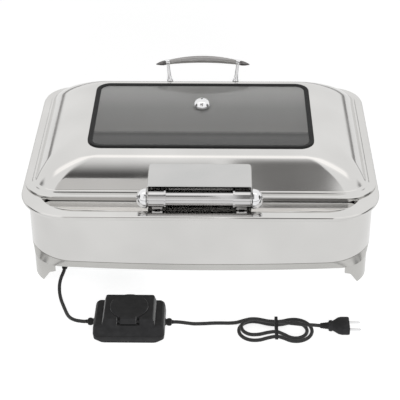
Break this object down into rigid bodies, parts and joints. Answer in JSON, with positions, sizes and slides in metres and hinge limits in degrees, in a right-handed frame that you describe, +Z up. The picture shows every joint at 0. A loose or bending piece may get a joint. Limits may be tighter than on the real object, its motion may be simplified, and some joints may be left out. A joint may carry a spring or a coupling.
{
  "type": "electric chafing dish",
  "caption": "Oblong electric chafing dish: domed windowed lid hinged over a food pan in a water basin, with a temperature controller and a plug on its tied cord.",
  "frame": {"origin": "on the table under the middle of the dish's box, without the cord and what is on it", "axes": "+X along the dish's length to the right as seen from the hinge side, +Y from the hinge towards the handle, +Z up"},
  "size_m": [0.612, 0.5955, 0.252],
  "materials": {
    "polished_steel": "polished stainless sheet with soft reflections",
    "chrome": "bright plated",
    "satin_grey": "satin, fine-brushed",
    "smoked_glass": "grey tinted, polished",
    "black_rubber": "matt",
    "black_cord": "slightly glossy sheath",
    "black_plastic": "fine-grained moulding",
    "aluminium": "as rolled",
    "plated_steel": "zinc plated",
    "insulation": "pale, smooth"
  },
  "bodies": {
    "base": {"casing": "polished_steel", "base_frame": "polished_steel", "bottom_plate": "plated_steel", "gland_bracket": "plated_steel", "bottom_screws": "plated_steel", "water_basin": "polished_steel", "food_pan": "polished_steel", "heating_plate": "aluminium", "heating_element": "plated_steel", "element_clamps": "aluminium", "clamp_screws": "plated_steel", "thermal_cutout": "black_plastic", "terminal_block": "insulation", "cord_gland": "black_rubber", "inner_cable": "black_cord", "heater_leads": "insulation", "hinge_bearing_left": "chrome", "hinge_bearing_right": "chrome", "hinge_barrel": "chrome", "hinge_damper": "aluminium", "bearing_screws": "plated_steel", "controller_base": "black_plastic", "controller_housing": "black_plastic", "controller_screws": "plated_steel", "cover_pin": "plated_steel", "thermostat": "plated_steel", "controller_boot_in": "black_rubber", "controller_boot_out": "black_rubber", "cord_to_controller": "black_cord", "cord_to_hank": "black_cord", "cord_hank": "black_cord", "cord_tie": "black_rubber", "plug_boot": "black_rubber", "plug_body": "black_plastic", "plug_pins": "chrome"},
    "lid": {"lid_shell": "polished_steel", "window_gasket": "black_rubber", "window_glass": "smoked_glass", "steam_vent": "chrome", "vent_washer": "black_rubber", "vent_nut": "chrome", "handle_grip": "satin_grey", "handle_post_left": "chrome", "handle_post_right": "chrome", "handle_finials": "satin_grey", "handle_screws": "chrome", "hinge_hood": "chrome", "hood_rivets": "chrome", "hinge_axle": "chrome", "hinge_cap_left": "chrome", "hinge_cap_right": "chrome"},
    "dial_cover": {"dial_cover": "black_plastic"},
    "dial": {"temperature_dial": "black_plastic", "dial_spindle": "plated_steel"}
  },
  "joints": [
    {"name": "lid_hinge", "type": "hinge", "parent": "base", "child": "lid", "pos_m": [0, -0.199, 0.1765], "axis": [1, 0, 0], "range_deg": [0, 90]},
    {"name": "cover_hinge", "type": "hinge", "parent": "base", "child": "dial_cover", "pos_m": [-0.114, -0.3555, 0.0385], "axis": [1, 0, 0], "range_deg": [0, 105]},
    {"name": "dial_turn", "type": "hinge", "parent": "base", "child": "dial", "pos_m": [-0.114, -0.3235, 0.035], "axis": [0, 0, 1], "range_deg": [0, 270]}
  ]
}
